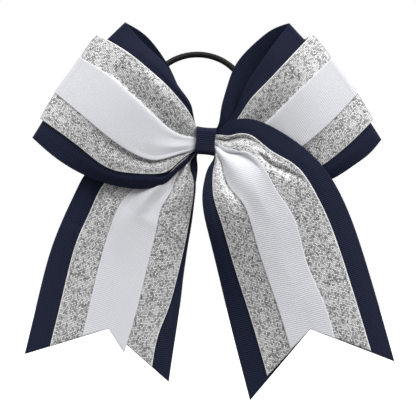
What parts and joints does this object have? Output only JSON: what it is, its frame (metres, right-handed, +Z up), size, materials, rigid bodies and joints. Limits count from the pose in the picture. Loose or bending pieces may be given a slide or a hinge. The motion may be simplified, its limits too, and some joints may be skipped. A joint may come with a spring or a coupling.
{
  "type": "hair bow",
  "caption": "Layered ribbon hair bow with two loops, two notched tails, a centre wrap and an elastic hair tie behind the knot.",
  "frame": {"origin": "middle of the knot inside the centre wrap, where the hair tie holds the bow on a ponytail", "axes": "+Z up as worn, along the bow's height; the front of the bow faces -Y; X runs across the loops"},
  "size_m": [0.1917, 0.0452, 0.1962],
  "materials": {
    "navy_grosgrain": "matte ribbed ribbon",
    "silver_weave": "metallic sparkling weave",
    "white_grosgrain": "matte ribbed ribbon",
    "white_thread": "spun thread",
    "clear_glue": "hot glue",
    "black_elastic": "braided elastic"
  },
  "bodies": {
    "root": {"centre_wrap": "navy_grosgrain", "wrap_glue": "clear_glue", "cinch_thread": "white_thread", "core_front_pass": "navy_grosgrain", "core_middle_pass": "navy_grosgrain", "core_rear_pass": "navy_grosgrain", "left_shoulder_navy": "navy_grosgrain", "left_shoulder_silver": "silver_weave", "left_shoulder_white": "white_grosgrain", "right_shoulder_navy": "navy_grosgrain", "right_shoulder_silver": "silver_weave", "right_shoulder_white": "white_grosgrain"},
    "left_loop": {"left_loop_navy": "navy_grosgrain", "left_loop_silver": "silver_weave", "left_loop_white": "white_grosgrain"},
    "right_loop": {"right_loop_navy": "navy_grosgrain", "right_loop_silver": "silver_weave", "right_loop_white": "white_grosgrain"},
    "left_tail": {"left_tail_navy": "navy_grosgrain", "left_tail_silver": "silver_weave", "left_tail_white": "white_grosgrain"},
    "right_tail": {"right_tail_navy": "navy_grosgrain", "right_tail_silver": "silver_weave", "right_tail_white": "white_grosgrain"},
    "hair_tie": {"hair_tie_cord": "black_elastic", "hair_tie_join": "black_elastic"}
  },
  "joints": [
    {"name": "left_loop_flex", "type": "hinge", "parent": "root", "child": "left_loop", "pos_m": [-0.0044, 0, 0], "axis": [0.4311, 0, 0.9023], "range_deg": [-3, 5], "stiffness_Nm_per_rad": 0.03},
    {"name": "right_loop_flex", "type": "hinge", "parent": "root", "child": "right_loop", "pos_m": [0.0044, 0, 0], "axis": [0.4311, 0, -0.9023], "range_deg": [-5, 4], "stiffness_Nm_per_rad": 0.03},
    {"name": "left_tail_swing", "type": "hinge", "parent": "root", "child": "left_tail", "pos_m": [-0.036, -0.0014, -0.027], "axis": [1, 0, 0], "range_deg": [-40, 50], "stiffness_Nm_per_rad": 0.01},
    {"name": "right_tail_swing", "type": "hinge", "parent": "root", "child": "right_tail", "pos_m": [0.034, -0.0146, -0.027], "axis": [1, 0, 0], "range_deg": [-50, 40], "stiffness_Nm_per_rad": 0.01},
    {"name": "hair_tie_swing", "type": "hinge", "parent": "root", "child": "hair_tie", "pos_m": [0, 0.0065, -0.0029], "axis": [-1, 0, 0], "range_deg": [0, 120]}
  ]
}
